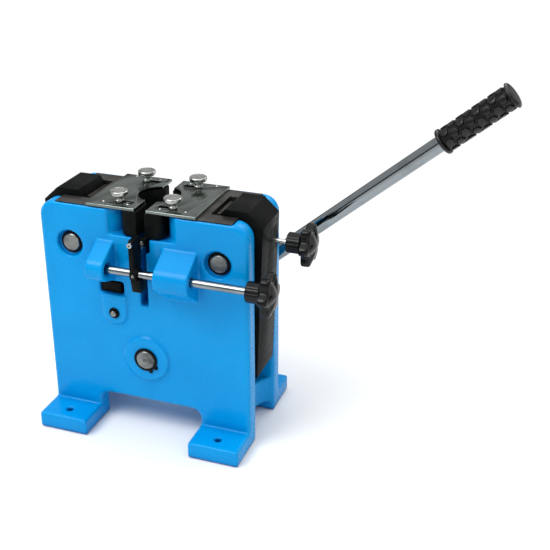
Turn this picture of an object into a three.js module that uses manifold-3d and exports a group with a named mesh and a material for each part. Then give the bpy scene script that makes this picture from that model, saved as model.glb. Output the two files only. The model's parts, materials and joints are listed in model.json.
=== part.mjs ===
// Bench press for cold-joining wire ends, worked by a long hand lever.
// The lever turns a two-lobed cam. The cam spreads the feet of two rocking arms, and the arm
// noses push two die carriers together under the sliding cover plates. Millimetres, +Z up.
// X runs across the frame, Y from the front plate's face to the rear, Z up from the bench.
import * as THREE from 'three';
import { mergeVertices } from 'three/addons/utils/BufferGeometryUtils.js';
import Module from 'manifold-3d';

const wasm = await Module();
wasm.setup();

// ---- driving dimensions ----
const gap = 0.3;                 // clearance between pieces that touch
const frameWidth = 280;
const frameHeight = 307.5;
const plateDepth = 24.5;         // thickness of each cast plate
const plateSpacing = 67.4;       // clear space between the two plates
const castRound = 3;
const topCornerRadius = 21;
const legWidth = 68;
const archHeight = 42.5;
const archCornerRadius = 13;
const footHeight = 22.4;
const frontFootReach = 44;
const rearFootReach = 37;
const footHoleRadius = 4.5;
const footHoleInset = 20;        // from the toe of a foot to its hole
const footRound = 1.6;

const mouthHalf = 47;            // notch for the die carriers, at the outer faces
const throatHalf = 31.4;         // the same notch where its slanted walls end
const notchDepth = 34.1;
const slotHalf = 5;
const slotLength = 92.4;         // below the notch's floor
const slotWideHalf = 10;
const slotWideLength = 19.4;

const floorTop = 53;             // cast floor between the plates, above the arch
const endBlockInset = 3;         // from the frame's side to a block's outer face
const endBlockWidth = 39;
const endBlockBottom = 16;
const endBlockDip = 16;          // how far the hollow in its outer face goes in
const bridgeDrop = 32;           // frame's top to the rails that carry the die carriers
const bridgeDepth = 19;
const bridgeHalf = 72;

const shaftRadius = 12.5;
const shaftHeight = 106.7;
const shaftFrontStub = 3.1;      // how far it stands out of the front boss
const shaftRearStub = 34;
const shaftRingWall = 3.4;
const shaftRingThickness = 1.5;
const bossRadius = 31;
const bossStand = 3.5;
const bushWall = 4.2;

const pivotInset = 40;           // from the frame's side to an arm's pin
const pivotDrop = 54.5;          // from the frame's top to the pin
const pivotPinRadius = 11.5;
const pivotRecess = 4;           // pin end below the plate's face
const pivotRingThickness = 1.6;
const counterboreRadius = 17.5;
const counterboreDepth = 8;

const armWidth = 60;
const armRise = 7.5;             // above the frame's top
const armOverhang = 8;           // past the frame's side, at the shoulder
const armBelowShaft = 18.7;
const armColumn = 42;            // depth of the arm's upright part along X
const armNose = 8.6;             // how far the nose reaches in past the pin
const armNoseRadius = 36;
const armThroat = 19;            // how far the bulge round the pin reaches in
const noseDrop = 16.5;           // frame's top to where a nose presses on its carrier
const forkWidth = 48;
const rollerRadius = 15;
const rollerWidth = 28;
const rollerPinRadius = 5;
const rollerX = 54;
const rollerLugWall = 8;
const armSwingPerTurn = 0.0874;  // arm angle for each unit of lever angle

const camWidth = 28;
const camHubRadius = 19;
const camHubStand = 5;
const leverDown = THREE.MathUtils.degToRad(42);
const leverUp = THREE.MathUtils.degToRad(45);
const keySize = 6;

const ratchetRadius = 48;
const ratchetToothDepth = 3.2;
const ratchetThickness = 8;
const ratchetPitch = THREE.MathUtils.degToRad(6);
const pawlX = -41;
const pawlRise = 60.3;           // above the shaft
const pawlBossRadius = 16.5;
const pawlPinRadius = 4;
const pawlHalf = 8;              // half width of the pawl's shank
const pawlTailLength = 37;
const windowLeft = -61;
const windowRight = -28;
const windowRise = 25;           // from the pawl's pin to the window
const windowHeight = 18;
const pawlTabFront = 3;          // behind the plate's face
const pawlTabRoom = 5;           // beside the tab, so that it can swing

const stripInner = 50;
const stripInset = 22;           // from the frame's side to a strip's outer end
const stripThickness = 6;
const stripLip = 4;              // casting left in front of a strip and behind it
const stripOpeningInset = 18;    // from an arm's pin in to the opening it rises through
const stripOpeningMargin = 2;    // between an arm's side and that opening

const coverInner = 8;
const coverOuter = 73;
const coverFront = 1;
const coverRear = 3.4;           // short of the rear face
const coverThickness = 3.7;
const coverHoleRadius = 27;
const coverTravel = 16;
const dowelRadius = 1.6;
const dowelStand = 0.2;

const thumbScrewX = 36;
const thumbScrewInset = 19.5;     // from the front and the rear face
const thumbShankRadius = 3;
const thumbSlotGap = 0.6;
const thumbNeckRadius = 4.8;
const thumbCollarRadius = 5.8;
const thumbHeadRadius = 11.6;
const thumbHeadTop = 18.8;       // above the frame's top
const thumbHeadHeight = 7.5;
const thumbThreadDepth = 20;

const carrierGapHalf = 5.5;
const carrierNoseHalf = 28;
const carrierInnerBlock = 46;
const carrierRearGap = 12.4;     // shorter than the frame at the rear
const carrierRound = 10;
const nestRadius = 27;
const nestFloor = 5.2;
const thrustPadThickness = 4.7;
const thrustPadHalf = 22;
const noseGap = 0.7;             // between an arm's nose and the thrust pad, lever at rest

const rodRadius = 5.2;
const rodY = -20;
const rodDrop = 71.5;            // below the frame's top
const rodOverhang = 20;          // past the frame's side
const leftBossLow = -62;
const leftBossHigh = -37;
const rightBossLow = 29;
const rightBossHigh = 74.5;
const rodBossRadius = 15;
const rodBossCrest = 9.3;        // where its front starts to slope back, above the rod
const rodBossBelly = 12;         // the same, below the rod
const rodBossTop = 32;           // where the slope meets the plate, above the rod
const rightBossUnder = 39;       // the same on the right boss, below the rod
const fingerX = 0;
const fingerWidth = 5.8;
const fingerFront = 8;           // ahead of the rod's middle
const fingerDepth = 21.5;
const fingerRise = 46;           // above the rod
const fingerCollarStart = 3;     // left of the finger's middle
const fingerCollarEnd = 5.2;     // right of it
const fingerTailStart = 2.4;
const fingerTailEnd = 9.6;
const fingerTailDrop = 24;
const fingerBoltDrop = 5;
const fingerBoltRadius = 1.5;
const fingerBoltHeadRadius = 3.2;
const spreaderHalf = 4;
const spreaderHeight = 9;
const spreaderDrop = 4;          // below the rails' top
const screwRadius = 2;
const screwHeadRadius = 3.7;

const strokeDrop = 37;           // below the frame's top
const strokeRadius = 3;
const strokeReach = 24;          // inward from an arm's pin
const strokeKnobOverhang = 30;   // past the frame's side
const openerKnobOverhang = 6;
const starRadius = 27;
const starScallop = 3.6;
const starHubRadius = 13;
const starHubLength = 17;
const starThickness = 20;
const starLobes = 6;

const leverAngle = THREE.MathUtils.degToRad(40.3);
const leverSetBack = 21.6;       // from the frame's rear face to the lever's middle
const tubeRadius = 10;
const tubeStart = 22;
const tubeEnd = 535;
const gripStart = 440;
const gripEnd = 542;
const gripRadius = 15.2;
const gripFlangeRadius = 16.8;
const leverHubRadius = 26;
const leverHubWidth = 30;
const leverSocketRadius = 15;
const leverSocketEnd = 48;
const clampScrewRadius = 3;

// ---- places that follow from them ----
const frameDepth = plateDepth * 2 + plateSpacing;
const midY = frameDepth / 2;
const frameHalf = frameWidth / 2;
const legInner = frameHalf - legWidth;
const endBlockOuter = frameHalf - endBlockInset;
const endBlockInner = endBlockOuter - endBlockWidth;
const notchFloor = frameHeight - notchDepth;
const bridgeTop = frameHeight - bridgeDrop;
const slotBottom = notchFloor - slotLength;
const slotWideBottom = notchFloor - slotWideLength;
const pivotX = frameHalf - pivotInset;
const pivotHeight = frameHeight - pivotDrop;
const armFront = midY - armWidth / 2;
const armBack = midY + armWidth / 2;
const armTop = frameHeight + armRise;
const armBottom = shaftHeight - armBelowShaft;
const armOuterTop = frameHalf + armOverhang;
const armInner = frameHalf - armColumn;
const noseTip = pivotX - armNose;
const noseHeight = frameHeight - noseDrop;
const pawlHeight = shaftHeight + pawlRise;
const windowBottom = pawlHeight + windowRise;
const windowTop = windowBottom + windowHeight;
const stripOuter = frameHalf - stripInset;
const coverUnder = frameHeight + gap;
const carrierBottom = bridgeTop + gap;
const carrierTop = frameHeight - gap;
const carrierOuterEnd = noseTip - noseGap - thrustPadThickness;
const carrierFront = plateDepth + 0.5;
const carrierBack = frameDepth - carrierFront;
const rodHeight = frameHeight - rodDrop;
const rodEnd = frameHalf + rodOverhang;
const openerKnobStart = frameHalf + openerKnobOverhang;
const strokeKnobStart = frameHalf + strokeKnobOverhang;
const strokeTip = pivotX - strokeReach;
const strokeHeight = frameHeight - strokeDrop;
const fingerTop = rodHeight + fingerRise;
const fingerBoltHeight = fingerTop - fingerBoltDrop;
const spreaderTop = bridgeTop - spreaderDrop;
const spreaderMiddle = spreaderTop - spreaderHeight / 2;
const leverY = frameDepth + leverSetBack;
const rearBossFace = frameDepth + bossStand;

// ---- materials ----
const paint = new THREE.MeshStandardMaterial({ color: 0x1c96de, roughness: 0.35, metalness: 0.0 });
const blackOxide = new THREE.MeshStandardMaterial({ color: 0x1c1f1f, roughness: 0.45, metalness: 0.6 });
const groundSteel = new THREE.MeshStandardMaterial({ color: 0x6a6f6b, roughness: 0.3, metalness: 0.9 });
const stripSteel = new THREE.MeshStandardMaterial({ color: 0x55524f, roughness: 0.4, metalness: 0.8 });
const pinSteel = new THREE.MeshStandardMaterial({ color: 0x8a8d8c, roughness: 0.25, metalness: 0.9 });
const zincPlate = new THREE.MeshStandardMaterial({ color: 0xc4c8ca, roughness: 0.3, metalness: 0.9 });
const chromePlate = new THREE.MeshStandardMaterial({ color: 0xd4d7da, roughness: 0.08, metalness: 1.0 });
const blackPlastic = new THREE.MeshStandardMaterial({ color: 0x141617, roughness: 0.4, metalness: 0.0 });
const gripRubber = new THREE.MeshStandardMaterial({ color: 0x1a1b1b, roughness: 0.7, metalness: 0.0 });
const bronze = new THREE.MeshStandardMaterial({ color: 0xa97c3f, roughness: 0.4, metalness: 0.8 });

// ---- solids ----
function solidOf(geometry) {
  const bare = geometry.clone();
  bare.deleteAttribute('normal');
  bare.deleteAttribute('uv');
  const merged = mergeVertices(bare, 1e-4);
  return new wasm.Manifold(new wasm.Mesh({
    numProp: 3,
    vertProperties: new Float32Array(merged.attributes.position.array),
    triVerts: new Uint32Array(merged.index.array),
  }));
}

function geometryOf(solid) {
  const mesh = solid.getMesh();
  const geometry = new THREE.BufferGeometry();
  geometry.setAttribute('position', new THREE.BufferAttribute(mesh.vertProperties, 3));
  geometry.setIndex(new THREE.BufferAttribute(mesh.triVerts, 1));
  return geometry;
}

function join(...pieces) {
  return pieces.reduce((whole, piece) => whole.add(piece));
}

function cut(whole, ...tools) {
  return tools.reduce((rest, tool) => rest.subtract(tool), whole);
}

function mirrored(geometry) {
  const flipped = mergeVertices(geometry.clone().scale(-1, 1, 1), 1e-5);
  const index = flipped.index.array;
  for (let i = 0; i < index.length; i += 3) {
    [index[i], index[i + 1]] = [index[i + 1], index[i]];
  }
  return flipped;
}

// An outline whose corners [u, v, radius] are turned with arcs.
function outline(corners) {
  const shape = new THREE.Shape();
  corners.forEach(([u, v, radius = 0], index) => {
    const corner = new THREE.Vector2(u, v);
    const previous = corners.at(index - 1);
    const next = corners[(index + 1) % corners.length];
    const back = new THREE.Vector2(previous[0] - u, previous[1] - v).normalize();
    const ahead = new THREE.Vector2(next[0] - u, next[1] - v).normalize();
    const halfAngle = Math.acos(THREE.MathUtils.clamp(back.dot(ahead), -1, 1)) / 2;
    const start = corner.clone().addScaledVector(back, radius / Math.tan(halfAngle));
    if (index === 0) {
      shape.moveTo(start.x, start.y);
    } else {
      shape.lineTo(start.x, start.y);
    }
    if (radius > 0) {
      const end = corner.clone().addScaledVector(ahead, radius / Math.tan(halfAngle));
      const middle = back.clone().add(ahead).normalize();
      const centre = corner.clone().addScaledVector(middle, radius / Math.sin(halfAngle));
      const from = Math.atan2(start.y - centre.y, start.x - centre.x);
      const to = Math.atan2(end.y - centre.y, end.x - centre.x);
      shape.absarc(centre.x, centre.y, radius, from, to, back.cross(ahead) > 0);
    }
  });
  return shape;
}

function rectangle(u0, u1, v0, v1, radius = 0) {
  return outline([[u0, v0, radius], [u1, v0, radius], [u1, v1, radius], [u0, v1, radius]]);
}

// Extrudes an outline from low to high, with an optional rounded edge all round.
function extrude(shape, low, high, round = 0, curveSegments = 4) {
  const geometry = new THREE.ExtrudeGeometry(shape, {
    depth: high - low - 2 * round,
    bevelEnabled: round > 0,
    bevelThickness: round,
    bevelSize: round,
    bevelOffset: -round,
    bevelSegments: 1,
    curveSegments,
  });
  return geometry.translate(0, 0, low + round);
}

const ontoFront = new THREE.Matrix4().makeBasis(
  new THREE.Vector3(1, 0, 0), new THREE.Vector3(0, 0, 1), new THREE.Vector3(0, -1, 0));
const ontoSide = new THREE.Matrix4().makeBasis(
  new THREE.Vector3(0, 1, 0), new THREE.Vector3(0, 0, 1), new THREE.Vector3(1, 0, 0));

// An outline in x and z, thick along Y.
function slabY(shape, y0, y1, round = 0, curveSegments = 4) {
  return solidOf(extrude(shape, -y1, -y0, round, curveSegments).applyMatrix4(ontoFront));
}

// An outline in y and z, thick along X.
function slabX(shape, x0, x1, round = 0) {
  return solidOf(extrude(shape, x0, x1, round).applyMatrix4(ontoSide));
}

// An outline in x and y, thick along Z.
function slabZ(shape, z0, z1, round = 0, curveSegments = 4) {
  return solidOf(extrude(shape, z0, z1, round, curveSegments));
}

function block(x0, x1, y0, y1, z0, z1) {
  const geometry = new THREE.BoxGeometry(x1 - x0, y1 - y0, z1 - z0);
  return solidOf(geometry.translate((x0 + x1) / 2, (y0 + y1) / 2, (z0 + z1) / 2));
}

function barX(y, z, radius, x0, x1, facets = 20) {
  const geometry = new THREE.CylinderGeometry(radius, radius, x1 - x0, facets).rotateZ(Math.PI / 2);
  return solidOf(geometry.translate((x0 + x1) / 2, y, z));
}

function barY(x, z, radius, y0, y1, facets = 24) {
  const geometry = new THREE.CylinderGeometry(radius, radius, y1 - y0, facets);
  return solidOf(geometry.translate(x, (y0 + y1) / 2, z));
}

function barZ(x, y, radius, z0, z1, facets = 16) {
  const geometry = new THREE.CylinderGeometry(radius, radius, z1 - z0, facets).rotateX(Math.PI / 2);
  return solidOf(geometry.translate(x, y, (z0 + z1) / 2));
}

// A turned piece about Z from [radius, height] points.
function turned(profile, facets = 16) {
  const points = profile.map(([radius, height]) => new THREE.Vector2(radius, height));
  return new THREE.LatheGeometry(points, facets).rotateX(Math.PI / 2);
}

const model = new THREE.Group();

function addPiece(name, geometry, material, parent = model) {
  const mesh = new THREE.Mesh(geometry, material);
  mesh.name = name;
  parent.add(mesh);
  return mesh;
}

function addSolid(name, solid, material, parent = model) {
  return addPiece(name, geometryOf(solid), material, parent);
}

const sides = [{ name: 'left', sign: -1 }, { name: 'right', sign: 1 }];

// Adds the piece made for the +X side, and its mirror image on the -X side.
function addPair(name, solid, material) {
  const geometry = geometryOf(solid);
  addPiece(`${name}_left`, mirrored(geometry), material);
  addPiece(`${name}_right`, geometry, material);
}

// ---- frame ----
function castPlate(y0) {
  const shape = outline([
    [-frameHalf, 0],
    [-legInner, 0],
    [-legInner, archHeight, archCornerRadius],
    [legInner, archHeight, archCornerRadius],
    [legInner, 0],
    [frameHalf, 0],
    [frameHalf, frameHeight, topCornerRadius],
    [-frameHalf, frameHeight, topCornerRadius],
  ]);
  return slabY(shape, y0, y0 + plateDepth, castRound, 5);
}

function foot(sign, toeY, heelY) {
  const inner = sign * legInner;
  const outer = sign * frameHalf;
  const shape = rectangle(Math.min(inner, outer), Math.max(inner, outer),
    Math.min(toeY, heelY), Math.max(toeY, heelY));
  const holeY = toeY + Math.sign(heelY - toeY) * footHoleInset;
  const hole = barZ(sign * (legInner + legWidth / 2), holeY, footHoleRadius, -1, footHeight + 1, 12);
  return cut(slabZ(shape, 0, footHeight, footRound, 2), hole);
}

function endBlock(sign) {
  const half = plateSpacing / 2;
  const radius = (half * half + endBlockDip * endBlockDip) / (2 * endBlockDip);
  const low = Math.min(sign * endBlockInner, sign * endBlockOuter);
  const high = Math.max(sign * endBlockInner, sign * endBlockOuter);
  const bar = block(low, high, plateDepth - 2, frameDepth - plateDepth + 2, endBlockBottom, floorTop);
  const centreX = sign * (endBlockOuter - endBlockDip + radius);
  return cut(bar, barZ(centreX, midY, radius, endBlockBottom - 1, floorTop + 1, 32));
}

function rodBoss(x0, x1, undersideAtFace) {
  const front = rodY - rodBossRadius;
  return slabX(outline([
    [castRound, rodHeight + rodBossTop],
    [front, rodHeight + rodBossCrest, rodBossRadius],
    [front, rodHeight - rodBossBelly, rodBossRadius],
    [castRound, undersideAtFace],
  ]), x0, x1);
}

function pawlPad() {
  const half = (windowRight - windowLeft) / 2;
  const pad = block(pawlX - half, pawlX + half, -bossStand, castRound, pawlHeight, windowBottom);
  return join(barY(pawlX, pawlHeight, pawlBossRadius, -bossStand, castRound), pad);
}

function notch() {
  const flare = mouthHalf - throatHalf;
  const shape = outline([
    [-mouthHalf - 2, -2], [mouthHalf + 2, -2], [throatHalf, flare],
    [throatHalf, frameDepth - flare], [mouthHalf + 2, frameDepth + 2],
    [-mouthHalf - 2, frameDepth + 2], [-throatHalf, frameDepth - flare], [-throatHalf, flare],
  ]);
  const over = slabZ(shape, notchFloor, frameHeight + 1);
  const between = block(-stripInner, stripInner, plateDepth, frameDepth - plateDepth,
    bridgeTop - 1, frameHeight + 1);
  return join(over, between);
}

function frameCasting() {
  const body = join(
    castPlate(0),
    castPlate(frameDepth - plateDepth),
    ...sides.map(({ sign }) => foot(sign, -frontFootReach, plateDepth - castRound)),
    ...sides.map(({ sign }) => foot(sign, frameDepth + rearFootReach, frameDepth - plateDepth + castRound)),
    ...sides.map(({ sign }) => endBlock(sign)),
    block(-endBlockInner - 2, endBlockInner + 2, plateDepth - 2, frameDepth - plateDepth + 2,
      archHeight + 1, floorTop),
    barY(0, shaftHeight, bossRadius, -bossStand, castRound, 36),
    barY(0, shaftHeight, bossRadius, frameDepth - castRound, rearBossFace, 36),
    rodBoss(leftBossLow, leftBossHigh, windowTop + 1),
    rodBoss(rightBossLow, rightBossHigh, rodHeight - rightBossUnder),
    pawlPad(),
  );
  const notched = cut(body, notch());
  const rails = sides.map(({ sign }) => {
    const inner = sign * (slotWideHalf + gap);
    const outer = sign * bridgeHalf;
    return block(Math.min(inner, outer), Math.max(inner, outer),
      plateDepth - 1, frameDepth - plateDepth + 1, bridgeTop - bridgeDepth, bridgeTop);
  });
  const seat = frameHeight - stripThickness - gap;
  const stripSeats = sides.map(({ sign }) => {
    const inner = sign * (stripInner - gap);
    const outer = sign * (stripOuter + gap);
    return block(Math.min(inner, outer), Math.max(inner, outer), stripLip, frameDepth - stripLip,
      seat, frameHeight + 1);
  });
  const pivotHoles = sides.flatMap(({ sign }) => [
    barY(sign * pivotX, pivotHeight, pivotPinRadius + gap, -1, frameDepth + 1),
    barY(sign * pivotX, pivotHeight, counterboreRadius, -1, counterboreDepth),
    barY(sign * pivotX, pivotHeight, counterboreRadius, frameDepth - counterboreDepth, frameDepth + 1),
  ]);
  const bushRadius = shaftRadius + bushWall + gap;
  const shaftHoles = [
    barY(0, shaftHeight, shaftRadius + gap, -bossStand - 1, rearBossFace + 1),
    barY(0, shaftHeight, bushRadius, castRound, frameDepth - castRound),
  ];
  const screwHoles = sides.flatMap(({ sign }) => [thumbScrewInset, frameDepth - thumbScrewInset].map(
    (y) => barZ(sign * thumbScrewX, y, thumbShankRadius + gap,
      frameHeight - thumbThreadDepth - 2, frameHeight + 1, 16)));
  return cut(
    join(notched, ...rails),
    ...stripSeats,
    ...pivotHoles,
    ...shaftHoles,
    ...screwHoles,
    slabY(rectangle(-slotHalf, slotHalf, slotBottom, notchFloor + 3, 2), -1, plateDepth + 1),
    block(-slotWideHalf, slotWideHalf, -1, plateDepth + 1, slotWideBottom, notchFloor + 3),
    slabY(rectangle(windowLeft, windowRight, windowBottom, windowTop, 2.5), -40, plateDepth + 1),
    barY(pawlX, pawlHeight, pawlPinRadius + gap, -bossStand - 1, plateDepth + 1, 20),
    barX(rodY, rodHeight, rodRadius + gap, leftBossLow + 4, rightBossHigh + 1),
    barX(rodY, rodHeight, rodRadius + 3, leftBossHigh - 3, leftBossHigh + 1),
  );
}

// ---- top: strips, cover plates, thumb screws ----
function topStrip() {
  const underside = frameHeight - stripThickness;
  const openFront = armFront - stripOpeningMargin;
  const openBack = armBack + stripOpeningMargin;
  const strip = block(stripInner, stripOuter, stripLip + gap, frameDepth - stripLip - gap,
    underside, frameHeight);
  const opening = block(pivotX - stripOpeningInset, stripOuter + 1, openFront, openBack,
    underside - 1, frameHeight + 1);
  return cut(strip, opening);
}

// Places of a cover's dowels: [from the thumb screw towards the middle, towards the plate's end].
const dowelPlaces = [
  [14, 7, 'front'],
  [-19, 6, 'front'],
  [14.5, 8.5, 'rear'],
  [-20.5, 12.3, 'rear'],
].map(([inward, outward, end]) => {
  const front = thumbScrewInset - outward;
  return [thumbScrewX - inward, end === 'front' ? front : frameDepth - front];
});

function coverPlate() {
  const top = coverUnder + coverThickness;
  const plate = slabZ(rectangle(coverInner, coverOuter, coverFront, frameDepth - coverRear),
    coverUnder, top, 0.4);
  const slotRadius = thumbShankRadius + thumbSlotGap;
  const slotInner = thumbScrewX - coverTravel - slotRadius;
  const slots = [thumbScrewInset, frameDepth - thumbScrewInset].map((y) => slabZ(
    rectangle(slotInner, thumbScrewX + slotRadius, y - slotRadius, y + slotRadius, slotRadius - 0.05),
    coverUnder - 1, top + 1));
  const dowelHoles = dowelPlaces.map(([x, y]) => barZ(x, y, dowelRadius + gap, coverUnder - 1, top + 1, 8));
  return cut(plate, barZ(0, midY, coverHoleRadius, coverUnder - 1, top + 1, 40), ...slots, ...dowelHoles);
}

function addTop() {
  addPair('top_strip', topStrip(), stripSteel);
  addPair('cover_plate', coverPlate(), groundSteel);
  const dowelLength = coverThickness + dowelStand - 0.1;
  const dowel = new THREE.CylinderGeometry(dowelRadius, dowelRadius, dowelLength, 8).rotateX(Math.PI / 2);
  const collarUnder = coverThickness + 2 * gap;
  const headUnder = thumbHeadTop - thumbHeadHeight;
  const thumbScrew = turned([
    [0, -thumbThreadDepth], [thumbShankRadius, -thumbThreadDepth], [thumbShankRadius, collarUnder],
    [thumbCollarRadius, collarUnder], [thumbCollarRadius, collarUnder + 1.9],
    [thumbNeckRadius, collarUnder + 2.8], [thumbNeckRadius, headUnder - 2],
    [thumbCollarRadius, headUnder - 1], [thumbCollarRadius, headUnder],
    [thumbHeadRadius - 1.4, headUnder + 1.2],
    [thumbHeadRadius, headUnder + 2.4], [thumbHeadRadius, thumbHeadTop - 1],
    [thumbHeadRadius - 1, thumbHeadTop], [0, thumbHeadTop],
  ]);
  sides.forEach(({ name, sign }) => {
    dowelPlaces.forEach(([x, y], index) => {
      const pin = addPiece(`cover_dowel_${name}_${index + 1}`, dowel, pinSteel);
      pin.position.set(sign * x, y, coverUnder + 0.1 + dowelLength / 2);
    });
    [['front', thumbScrewInset], ['rear', frameDepth - thumbScrewInset]].forEach(([end, y]) => {
      const screw = addPiece(`thumb_screw_${name}_${end}`, thumbScrew, zincPlate);
      screw.position.set(sign * thumbScrewX, y, frameHeight);
    });
  });
}

// ---- die carriers ----
function dieCarrier() {
  const rear = frameDepth - carrierRearGap;
  const nose = slabZ(outline([
    [carrierGapHalf, 0.5, 1], [carrierNoseHalf, 0.5, carrierRound],
    [carrierNoseHalf, rear, carrierRound - 2], [carrierGapHalf, rear, carrierRound - 2],
  ]), carrierBottom, carrierTop);
  const middle = block(carrierGapHalf, carrierInnerBlock, carrierFront, carrierBack,
    carrierBottom, carrierTop);
  const outer = block(carrierNoseHalf - 1, carrierOuterEnd, carrierFront, carrierBack,
    carrierBottom, frameHeight - stripThickness - gap);
  const nest = barZ(0, midY, nestRadius, carrierBottom + nestFloor, frameHeight + 1, 48);
  return cut(join(nose, middle, outer), nest);
}

function addCarriers() {
  addPair('die_carrier', dieCarrier(), blackOxide);
  const padStart = carrierOuterEnd + gap;
  const pad = block(padStart, padStart + thrustPadThickness - gap, midY - thrustPadHalf, midY + thrustPadHalf,
    carrierBottom + 2, frameHeight - 2);
  addPair('thrust_pad', pad, pinSteel);
}

// ---- arms ----
function rockingArm() {
  const body = slabY(outline([
    [armInner + 5, armBottom, 3], [frameHalf, armBottom, 3],
    [armOuterTop, armTop - 18, 2], [armOuterTop - 19.5, armTop, 2],
    [noseTip + 8.1, armTop, 2], [noseTip, noseHeight + 10, armNoseRadius],
    [noseTip, noseHeight - 11, 10.9], [pivotX + 4, noseHeight - 11, 1.5],
    [pivotX + 4, pivotHeight + 15, 1.5], [pivotX - armThroat, pivotHeight + 15, 13],
    [pivotX - armThroat, pivotHeight - 21, 14], [armInner, pivotHeight - 48, 20],
    [armInner, armBottom + 6, 3],
  ]), armFront, armBack);
  const lugRadius = rollerPinRadius + rollerLugWall;
  const lug = slabY(outline([
    [rollerX - lugRadius, shaftHeight - lugRadius, lugRadius - 0.5],
    [armInner + 4, shaftHeight - lugRadius - 2], [armInner + 4, shaftHeight + lugRadius + 6],
    [rollerX - lugRadius, shaftHeight + lugRadius, lugRadius - 0.5],
  ]), midY - forkWidth / 2, midY + forkWidth / 2);
  const forkHalf = rollerWidth / 2 + 0.4;
  return cut(
    join(body, lug),
    block(rollerX - 30, rollerX + rollerRadius + 2, midY - forkHalf, midY + forkHalf,
      shaftHeight - 40, shaftHeight + 40),
    barY(rollerX, shaftHeight, rollerPinRadius + gap, armFront, armBack, 24),
    barY(pivotX, pivotHeight, pivotPinRadius + gap, armFront - 1, armBack + 1),
  );
}

function strokeBore() {
  return barX(midY, strokeHeight, strokeRadius + gap, strokeTip - 16, armOuterTop + 10, 16);
}

function pivotRing() {
  const ring = barY(0, 0, counterboreRadius - 3, 0, pivotRingThickness);
  return cut(ring, barY(0, 0, pivotPinRadius + gap, -1, pivotRingThickness + 1));
}

function addArms() {
  const arm = rockingArm();
  addPiece('arm_left', mirrored(geometryOf(arm)), blackOxide);
  addSolid('arm_right', cut(arm, strokeBore()), blackOxide);
  const pinLength = frameDepth - 2 * pivotRecess;
  const ring = geometryOf(pivotRing());
  const rollerHalf = rollerWidth / 2;
  const roller = geometryOf(cut(barY(0, 0, rollerRadius, -rollerHalf, rollerHalf),
    barY(0, 0, rollerPinRadius + gap, -rollerHalf - 1, rollerHalf + 1, 24)));
  sides.forEach(({ name, sign }) => {
    const pin = addPiece(`arm_pivot_pin_${name}`,
      new THREE.CylinderGeometry(pivotPinRadius, pivotPinRadius, pinLength, 24), pinSteel);
    pin.position.set(sign * pivotX, midY, pivotHeight);
    const front = addPiece(`pivot_ring_front_${name}`, ring, blackOxide);
    front.position.set(sign * pivotX, counterboreDepth - gap - pivotRingThickness, pivotHeight);
    const rear = addPiece(`pivot_ring_rear_${name}`, ring, blackOxide);
    rear.position.set(sign * pivotX, frameDepth - counterboreDepth + gap, pivotHeight);
    const wheel = addPiece(`cam_roller_${name}`, roller, pinSteel);
    wheel.position.set(sign * rollerX, midY, shaftHeight);
    const axle = addPiece(`roller_pin_${name}`,
      new THREE.CylinderGeometry(rollerPinRadius, rollerPinRadius, forkWidth - 1, 20), pinSteel);
    axle.position.set(sign * rollerX, midY, shaftHeight);
  });
}

// ---- cam, shaft and ratchet ----
// Centre of an arm's roller, seen from the shaft, when the lever has turned by an angle.
function rollerFromShaft(sign, leverTurn) {
  const swing = armSwingPerTurn * leverTurn;
  const reach = new THREE.Vector2(rollerX - pivotX, shaftHeight - pivotHeight);
  reach.rotateAround(new THREE.Vector2(0, 0), swing);
  return new THREE.Vector2(sign * (pivotX + reach.x), pivotHeight + reach.y - shaftHeight);
}

// Each lobe is the roller's path in the cam's own frame, moved in by the roller's radius.
function camLobe(sign) {
  const steps = 24;
  const margin = THREE.MathUtils.degToRad(4);
  const centres = [];
  for (let step = 0; step <= steps; step += 1) {
    const turn = THREE.MathUtils.lerp(-leverUp - margin, leverDown + margin, step / steps);
    centres.push(rollerFromShaft(sign, turn).rotateAround(new THREE.Vector2(0, 0), turn));
  }
  return centres.map((centre, index) => {
    const before = centres[Math.max(index - 1, 0)];
    const after = centres[Math.min(index + 1, steps)];
    const along = after.clone().sub(before).normalize();
    const inward = new THREE.Vector2(-along.y, along.x);
    return centre.clone().addScaledVector(inward, rollerRadius + gap);
  });
}

function cam() {
  const rim = [...camLobe(1), ...camLobe(-1)];
  const half = camWidth / 2;
  return cut(
    join(slabY(new THREE.Shape(rim), midY - half, midY + half, 0, 1),
      barY(0, 0, camHubRadius, midY - half - camHubStand, midY + half + camHubStand)),
    barY(0, 0, shaftRadius + gap, 0, frameDepth),
    block(-keySize / 2 - gap, keySize / 2 + gap, 0, frameDepth, 0, shaftRadius + keySize / 2 + gap),
  );
}

function mainShaft() {
  const length = frameDepth + 2 * bossStand + shaftFrontStub + shaftRearStub;
  const bar = turned([
    [0, 2.5], [2.2, 0], [shaftRadius - 1, 0], [shaftRadius, 1],
    [shaftRadius, length - 1], [shaftRadius - 1, length], [0, length],
  ], 24);
  const start = -bossStand - shaftFrontStub;
  const shaft = solidOf(bar.rotateX(-Math.PI / 2).translate(0, start, 0));
  const keyway = block(-keySize / 2 - gap, keySize / 2 + gap, midY - camWidth / 2, midY + camWidth / 2,
    shaftRadius - keySize / 2 - gap, shaftRadius + 5);
  return cut(shaft, keyway);
}

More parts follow.
